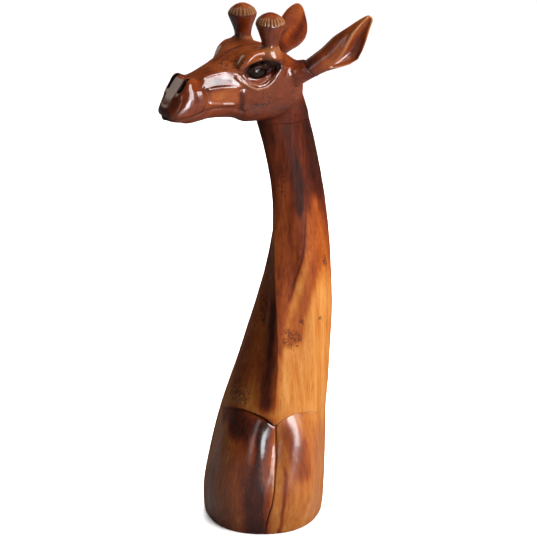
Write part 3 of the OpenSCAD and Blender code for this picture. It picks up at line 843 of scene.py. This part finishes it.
def build_ossicone(name, side):
    """A waisted horn turned from its outline, with flutes cut round the edge of its dome."""
    lean, tilt = math.radians(-5), math.radians(-2)
    turn = np.array(Matrix.Rotation(lean, 3, "Y") @ Matrix.Rotation(tilt, 3, "X"))
    seed = 61 if side > 0 else 62
    rings, around, flutes = 150, 264, 24
    length = np.concatenate([[0], np.cumsum(np.linalg.norm(np.diff(OUTLINE, axis=0), axis=1))])
    t = spaced(rings, 0, length[-1], lambda v: 1 + 1.0 * bell(v - 52, 10))
    # a smooth curve through the outline
    r, h = np.interp(t, length, OUTLINE[:, 0]), np.interp(t, length, OUTLINE[:, 1])
    for _ in range(10):
        even_out(r)
        even_out(h)
    w = np.linspace(0, 2 * math.pi, around, endpoint=False)
    # one point closes the top, where the last ring has no size
    W, H = np.meshgrid(w, h[:-1])
    R = np.repeat(r[:-1, None], around, 1)
    wander = 0.05 * np.sin(3 * W + seed) + 0.03 * np.sin(7 * W + 2 * seed)
    comb = np.abs(np.sin((W + wander) * flutes / 2)) ** 0.6
    zone = ramp(H, 43.8, 46.5) * ramp(59.0 + 1.2 * np.sin(5 * W + seed) - H, 0, 3.0)
    cut = zone * (1 - comb)
    plain = np.stack([R * np.cos(W), R * np.sin(W), H], -1).reshape(-1, 3)
    uneven = noise3(plain, 12, seed).reshape(R.shape)
    R = R + 0.45 * uneven * ramp(R, 3, 12) + (0.4 * zone - 2.0 * cut) * ramp(R, 2, 10)
    rim = bell(H - 43.2, 1.1) * (R > 20)
    R = R - 0.35 * bell(H - 42.0, 0.9) * (R > 20) + 0.2 * rim
    P = np.stack([R * np.cos(W), R * np.sin(W), H], -1).reshape(-1, 3)
    points = np.concatenate([P, [[0, 0, OUTLINE[-1, 1]], [0, 0, 0]]])
    index = np.arange(len(P)).reshape(R.shape)
    faces = ring_quads(index) + cap(index[-1], len(P)) + cap(index[0][::-1], len(P) + 1)
    if side < 0:
        faces = [f[::-1] for f in faces]
    world = from_head((points @ turn.T + [0, 49, 0]) * [1, side, 1])
    tone = 0.64 + 0.10 * uneven - 0.10 * ramp(H, 50, 60) - 0.26 * ramp(9 - H, 0, 8)
    # painted shade in the flutes and under the rim of the dome, and a dark joint line at the foot
    dirt = 0.50 * cut ** 0.8 + 0.12 * bell(H - 42.0, 1.0) + 0.5 * ramp(1.5 - H, 0, 1.5)
    values = {"tone": tone, "dirt": dirt, "pale": 0.36 * zone * comb}
    # the two end points take plain zeros
    values = {key: np.concatenate([v.ravel(), [0.0, 0.0]]) for key, v in values.items()}
    obj = make_object(name + "_carving", world, faces, all_layers(len(points), **values))
    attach(obj, "root")
    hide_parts(name)
    return obj


ossicones = [build_ossicone("left_ossicone", 1), build_ossicone("right_ossicone", -1)]

# ---------------------------------------------------------------- eyes


def build_eye(name, side):
    """A full ball with a barely raised pupil and a faint ring round it."""
    rings, around = 96, 128
    gaze = np.array([0.28, 0.95, -0.08])
    gaze /= np.linalg.norm(gaze)
    a = np.cross([0, 0, 1.0], gaze)
    a /= np.linalg.norm(a)
    b = np.cross(gaze, a)
    theta = spaced(rings, 0, math.pi, lambda v: 1 + 2.2 * bell(v - 0.36, 0.25))
    w = np.linspace(0, 2 * math.pi, around, endpoint=False)
    T, W = np.meshgrid(theta[1:-1], w, indexing="ij")
    arc = T * EYE_R
    R = EYE_R + 0.10 * bell(arc, 8.0)
    across = np.cos(W)[..., None] * a + np.sin(W)[..., None] * b
    direction = np.cos(T)[..., None] * gaze + np.sin(T)[..., None] * across
    P = (EYE_AT + R[..., None] * direction).reshape(-1, 3)
    front, back = EYE_AT + (EYE_R + 0.10) * gaze, EYE_AT - EYE_R * gaze
    points = np.concatenate([P, [front, back]])
    index = np.arange(len(P)).reshape(T.shape)
    faces = ring_quads(index[:, ::-1]) + cap(index[0], len(P)) + cap(index[-1][::-1], len(P) + 1)
    if side < 0:
        faces = [f[::-1] for f in faces]
    world = from_head(points * [1, side, 1])
    iris = np.concatenate([bell(arc - 6.0, 2.4).ravel(), [0.0, 0.0]])
    obj = make_object(name + "_ball", world, faces, {"iris": iris})
    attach(obj, "root")
    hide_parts(name)
    return obj


eyes = [build_eye("left_eye", 1), build_eye("right_eye", -1)]

# ---------------------------------------------------------------- materials


class Nodes:
    """Short ways to wire up one material's nodes."""

    def __init__(self, name):
        self.material = bpy.data.materials.new(name)
        self.material.use_nodes = True
        self.tree = self.material.node_tree
        self.tree.nodes.clear()
        self.out = self.tree.nodes.new("ShaderNodeOutputMaterial")
        self.bsdf = self.tree.nodes.new("ShaderNodeBsdfPrincipled")
        self.tree.links.new(self.bsdf.outputs[0], self.out.inputs[0])

    def put(self, socket, value):
        """Sets a socket to a value, or links it to another node's output."""
        if isinstance(value, bpy.types.NodeSocket):
            self.tree.links.new(value, socket)
        elif isinstance(value, (tuple, list)) and len(value) == 3 and socket.type == "RGBA":
            socket.default_value = (*value, 1)
        else:
            socket.default_value = value

    def layer(self, name):
        """One of the number layers painted on the mesh."""
        node = self.tree.nodes.new("ShaderNodeAttribute")
        node.attribute_name = name
        return node.outputs["Fac"]

    def math(self, op, a, b=0.0, c=0.0, clamp=False):
        node = self.tree.nodes.new("ShaderNodeMath")
        node.operation = op
        node.use_clamp = clamp
        for socket, value in zip(node.inputs, (a, b, c)):
            self.put(socket, value)
        return node.outputs[0]

    def mix(self, fac, a, b):
        node = self.tree.nodes.new("ShaderNodeMix")
        node.data_type = "RGBA"
        node.clamp_factor = True
        self.put(node.inputs[0], fac)
        self.put(node.inputs[6], a)
        self.put(node.inputs[7], b)
        return node.outputs[2]

    def where(self, scale, turn=(0, 0, 0)):
        """The point on the object, turned and stretched for a grain."""
        coords = self.tree.nodes.new("ShaderNodeTexCoord")
        mapping = self.tree.nodes.new("ShaderNodeMapping")
        mapping.inputs["Scale"].default_value = scale
        mapping.inputs["Rotation"].default_value = turn
        self.tree.links.new(coords.outputs["Object"], mapping.inputs["Vector"])
        return mapping.outputs[0]

    def noise(self, vector, scale, detail=3.0, rough=0.55, distort=0.0):
        node = self.tree.nodes.new("ShaderNodeTexNoise")
        self.put(node.inputs["Vector"], vector)
        settings = {"Scale": scale, "Detail": detail, "Roughness": rough, "Distortion": distort}
        for key, value in settings.items():
            node.inputs[key].default_value = value
        return node.outputs[0]

    def cells(self, vector, scale):
        node = self.tree.nodes.new("ShaderNodeTexVoronoi")
        self.put(node.inputs["Vector"], vector)
        node.inputs["Scale"].default_value = scale
        return node.outputs["Distance"]

    def step(self, value, low, high):
        """0 below low, 1 above high, smooth between."""
        node = self.tree.nodes.new("ShaderNodeMapRange")
        node.interpolation_type = "SMOOTHSTEP"
        for socket, v in zip(node.inputs, (value, low, high, 0.0, 1.0)):
            self.put(socket, v)
        return node.outputs[0]

    def tones(self, value, stops):
        """A colour ramp from (place, colour) stops."""
        node = self.tree.nodes.new("ShaderNodeValToRGB")
        self.put(node.inputs[0], value)
        ramp_stops = node.color_ramp.elements
        while len(ramp_stops) < len(stops):
            ramp_stops.new(0.5)
        for element, (place, colour) in zip(ramp_stops, stops):
            element.position = place
            element.color = (*colour, 1)
        return node.outputs[0]

    def bump(self, height, distance, before=None):
        node = self.tree.nodes.new("ShaderNodeBump")
        node.inputs["Distance"].default_value = distance
        self.put(node.inputs["Height"], height)
        if before is not None:
            self.put(node.inputs["Normal"], before)
        return node.outputs[0]


# Wood colours from pale sapwood, through orange and red-brown, to black veins.
WOOD_TONES = ((0.00, (0.60, 0.27, 0.070)), (0.20, (0.47, 0.155, 0.028)), (0.40, (0.32, 0.070, 0.011)),
              (0.60, (0.175, 0.030, 0.006)), (0.80, (0.068, 0.011, 0.004)), (1.00, (0.013, 0.005, 0.004)))
# near black for punched dots and for painted shade; pale for worn edges and for painted highlights
DARK_DOTS_AND_SHADE, WEAR_AND_HIGHLIGHT = (0.010, 0.005, 0.004), (0.62, 0.33, 0.14)
# Above real lacquer, so that weak lamps show from straight ahead and don't glare at a glancing angle.
COAT_IOR = 2.06


def wood(name, grain=(1.0, 1.0, 0.07), turn=(0, 0, 0), gloss=0.14, coat=0.6, shine=0.10, pores=0.10,
         streak=0.28):
    """Lacquered hardwood: its tone by layer, with grain, pores, burnt marks, worn edges, painted highlights,
    and painted shade in the cuts.
    """
    n = Nodes(name)
    fibre = n.where(grain, turn)
    plain = n.where((1, 1, 1))
    broad = n.noise(fibre, 34, 4, 0.55, 0.8)
    fine = n.noise(fibre, 210, 4, 0.65, 0.3)
    hair = n.noise(fibre, 640, 2, 0.5)
    tone = n.math("ADD", n.layer("tone"), n.math("MULTIPLY_ADD", broad, 0.34, -0.17))
    tone = n.math("ADD", tone, n.math("MULTIPLY_ADD", fine, streak, -0.5 * streak))
    pore = n.step(hair, 0.58, 0.72)
    tone = n.math("ADD", tone, n.math("MULTIPLY", pore, pores))
    colour = n.tones(tone, WOOD_TONES)
    # burnt marks: curling lines and blots inside the marked places
    curl = n.noise(plain, 150, 2.5, 0.6, 1.6)
    mark = n.math("MULTIPLY", n.step(curl, 0.47, 0.56), 0.9)
    blots = n.math("MULTIPLY_ADD", n.noise(plain, 55, 2, 0.6, 0.5), 1.4, -0.70)
    spread = n.math("MULTIPLY", n.math("ADD", n.layer("burn"), blots), n.step(n.layer("burn"), 0.02, 0.2))
    mark = n.math("MULTIPLY", mark, n.step(spread, 0.30, 0.60))
    colour = n.mix(n.math("MULTIPLY", mark, 0.80), colour, (0.085, 0.016, 0.008))
    # punched dots on the cheek and brow
    dots = n.math("SUBTRACT", 1.0, n.step(n.cells(plain, 250), 0.22, 0.42))
    dots = n.math("MULTIPLY", dots, n.layer("stipple"))
    colour = n.mix(n.math("MULTIPLY", dots, 0.95), colour, DARK_DOTS_AND_SHADE)
    # pale worn wood on raised edges and painted highlights, and painted shade in the cuts and hollows with
    # dark joint lines
    colour = n.mix(n.layer("pale"), colour, WEAR_AND_HIGHLIGHT)
    colour = n.mix(n.math("MULTIPLY", n.layer("dirt"), 0.96), colour, DARK_DOTS_AND_SHADE)
    n.put(n.bsdf.inputs["Base Color"], colour)
    rough = n.math("MULTIPLY_ADD", n.layer("sheen"), -0.30, 0.50)
    rough = n.math("MULTIPLY_ADD", fine, 0.10, rough)
    rough = n.math("MULTIPLY_ADD", n.layer("dirt"), 0.3, rough, clamp=True)
    n.put(n.bsdf.inputs["Roughness"], rough)
    height = n.math("ADD", n.math("MULTIPLY", fine, 0.5), n.math("MULTIPLY", pore, -0.5))
    first = n.bump(height, 0.00010)
    wave = n.bump(n.noise(plain, 42, 2, 0.5), 0.0008, before=first)
    dents = n.math("MULTIPLY", n.math("ADD", dots, n.math("MULTIPLY", mark, 0.5)), -1.0)
    n.put(n.bsdf.inputs["Normal"], n.bump(dents, 0.0005, before=wave))
    n.bsdf.inputs["IOR"].default_value = 1.5
    n.bsdf.inputs["Specular IOR Level"].default_value = shine
    # the lacquer is thin where the cuts are painted dark, and broken by pores where it is matt
    clear = n.math("MULTIPLY_ADD", n.step(n.layer("dirt"), 0.35, 0.95), -0.85, 1.0)
    cover = n.math("MULTIPLY", n.layer("sheen"), clear)
    n.put(n.bsdf.inputs["Coat Weight"], n.math("MULTIPLY", cover, coat))
    n.bsdf.inputs["Coat Roughness"].default_value = gloss
    n.bsdf.inputs["Coat IOR"].default_value = COAT_IOR
    ripple = n.bump(n.noise(plain, 30, 2, 0.5), 0.0006)
    matt = n.math("SUBTRACT", 1.0, n.layer("sheen"))
    broken = n.math("MULTIPLY", n.noise(plain, 1000, 1, 0.5), matt)
    n.put(n.bsdf.inputs["Coat Normal"], n.bump(broken, 0.0022, before=ripple))
    return n.material


def black_eye():
    """Polished black wood with a thin coat."""
    n = Nodes("polished black eye")
    grain = n.noise(n.where((1, 1, 0.15)), 260, 3)
    colour = n.mix(grain, (0.003, 0.002, 0.001), (0.012, 0.005, 0.003))
    colour = n.mix(n.math("MULTIPLY", n.layer("iris"), 0.35), colour, (0.030, 0.010, 0.005))
    n.put(n.bsdf.inputs["Base Color"], colour)
    n.put(n.bsdf.inputs["Roughness"], n.math("MULTIPLY_ADD", grain, 0.12, 0.16))
    n.bsdf.inputs["Specular IOR Level"].default_value = 0.0
    n.bsdf.inputs["Coat Weight"].default_value = 0.30
    n.bsdf.inputs["Coat IOR"].default_value = COAT_IOR
    n.bsdf.inputs["Coat Roughness"].default_value = 0.05
    return n.material


def plain_dowel():
    """Bare pale wood, for the dowels inside the joints."""
    n = Nodes("plain dowel")
    fibre = n.where((1, 1, 0.1))
    fine = n.noise(fibre, 300, 4)
    n.put(n.bsdf.inputs["Base Color"], n.mix(fine, (0.55, 0.36, 0.19), (0.38, 0.22, 0.10)))
    n.put(n.bsdf.inputs["Roughness"], n.math("MULTIPLY_ADD", fine, 0.2, 0.55))
    n.put(n.bsdf.inputs["Normal"], n.bump(fine, 0.0001))
    return n.material


neck.data.materials.append(wood("neck wood", gloss=0.19, coat=0.55, pores=0.14, streak=0.40))
head.data.materials.append(wood("head wood", grain=(0.3, 1, 1), turn=(0, 0, -YAW), gloss=0.12, pores=0.04))
for ear in ears:
    ear_wood = wood("ear wood " + ear.name, grain=(0.35, 0.8, 0.25), turn=(0.3, 0.5, 0.4), gloss=0.2)
    ear.data.materials.append(ear_wood)
for horn in ossicones:
    horn.data.materials.append(wood("ossicone wood " + horn.name, grain=(1, 1, 0.2), gloss=0.15))
eye_material = black_eye()
for eye in eyes:
    eye.data.materials.append(eye_material)
dowel_material = plain_dowel()
for node in NODES.values():
    if not node.hide_render:
        node.data.materials.clear()
        node.data.materials.append(dowel_material)

# ---------------------------------------------------------------- stage, lights and camera

# The floor is pale to the camera, and dark to the light that it would throw up on the wood.
floor_nodes = Nodes("pale floor")
seen = floor_nodes.tree.nodes.new("ShaderNodeLightPath").outputs["Is Camera Ray"]
floor_nodes.put(floor_nodes.bsdf.inputs["Base Color"],
                floor_nodes.mix(seen, (0.08, 0.08, 0.08), (0.93, 0.93, 0.93)))
floor_nodes.bsdf.inputs["Roughness"].default_value = 0.95
floor_nodes.bsdf.inputs["Specular IOR Level"].default_value = 0.05
FLOOR_HALF, FLOOR_Z = 14, -0.0005
around = ((-1, -1), (1, -1), (1, 1), (-1, 1))
corners = np.array([(x * FLOOR_HALF, y * FLOOR_HALF, FLOOR_Z) for x, y in around])
floor = make_object("floor", corners / MM, [(0, 1, 2, 3)], smooth=False)
floor.data.materials.append(floor_nodes.material)


WARM, COOL = (1.0, 0.97, 0.93), (0.93, 0.96, 1.0)


def area(name, at, aim, size, power, colour=(1, 1, 1), diffuse=True, gloss=True):
    """A rectangular lamp that lights the wood, shows as a reflection in its lacquer, or both."""
    light = bpy.data.lights.new(name, "AREA")
    light.shape = "RECTANGLE"
    light.size, light.size_y = size
    light.energy = power
    light.color = colour
    obj = bpy.data.objects.new(name, light)
    obj.location = at
    obj.rotation_euler = (Vector(aim) - Vector(at)).to_track_quat("-Z", "Y").to_euler()
    obj.visible_camera = False
    obj.visible_diffuse, obj.visible_glossy = diffuse, gloss
    bpy.context.scene.collection.objects.link(obj)
    return obj


area("key_from_the_right", (2.25, -1.7, 1.2), (0.05, 0, 0.5), (1.6, 2.2), 138, WARM, gloss=False)
area("card_on_the_right", (2.1, -1.9, 1.0), (0, 0, 0.5), (0.6, 1.9), 5.3, (1.0, 0.98, 0.95), diffuse=False)
area("window_ahead", (1.60, -2.12, 1.42), (0, 0, 0.9), (1.45, 1.05), 33, COOL, diffuse=False)
area("low_window", (1.15, -2.38, 0.50), (0, 0, 0.2), (0.9, 1.0), 30, COOL, diffuse=False)
area("window_on_the_left", (-1.15, -2.6, 0.9), (0, 0, 0.4), (0.3, 1.8), 3.3, COOL, diffuse=False)
area("behind_on_the_left", (-2.2, 1.8, 2.1), (0, 0, 0.8), (1.2, 1.2), 5, (0.97, 0.97, 0.84), diffuse=False)
area("behind", (0.3, 2.7, 1.5), (0, 0, 0.6), (1.6, 1.6), 85, (1.0, 0.99, 0.97), gloss=False)
area("overhead", (0.2, 0.4, 3.2), (0.0, 0.0, 0), (1.8, 1.8), 56, gloss=False)
area("card_overhead", (0.2, 0.4, 3.2), (0.0, 0.0, 0), (1.8, 1.8), 18, diffuse=False)
# a wide lamp over the floor alone, so that it stays evenly pale all round
sky = bpy.data.lights.new("floor_lamp", "SUN")
sky.energy, sky.angle = 3, math.radians(70)
sky_lamp = bpy.data.objects.new("floor_lamp", sky)
bpy.context.scene.collection.objects.link(sky_lamp)
floor_only = bpy.data.collections.new("floor_only")
floor_only.objects.link(floor)
sky_lamp.light_linking.receiver_collection = floor_only

# the world is white to the camera and gives almost no light
world = bpy.data.worlds.new("studio")
world.use_nodes = True
tree = world.node_tree
seen = tree.nodes["Background"]
lit = tree.nodes.new("ShaderNodeBackground")
split = tree.nodes.new("ShaderNodeMixShader")
for shader, strength, slot in ((seen, 1.0, 2), (lit, 0.04, 1)):
    shader.inputs["Color"].default_value = (1, 1, 1, 1)
    shader.inputs["Strength"].default_value = strength
    tree.links.new(shader.outputs[0], split.inputs[slot])
tree.links.new(tree.nodes.new("ShaderNodeLightPath").outputs["Is Camera Ray"], split.inputs[0])
tree.links.new(split.outputs[0], tree.nodes["World Output"].inputs[0])
bpy.context.scene.world = world

# The photographer's eye height and distance in metres, the angle looked down at, and the lens in mm.
EYE_HEIGHT, STAND_OFF, LOOK_DOWN, LENS = 1.56, 2.70, 21.2, 101.8
camera = bpy.data.cameras.new("camera")
camera.sensor_width = 36
camera.lens = LENS
camera.clip_end = 60
view = bpy.data.objects.new("camera", camera)
view.location = (0.011, -STAND_OFF, EYE_HEIGHT)
view.rotation_euler = (math.radians(90 - LOOK_DOWN), 0, 0)
bpy.context.scene.collection.objects.link(view)
bpy.context.scene.camera = view
bpy.context.scene.view_settings.view_transform = "Standard"
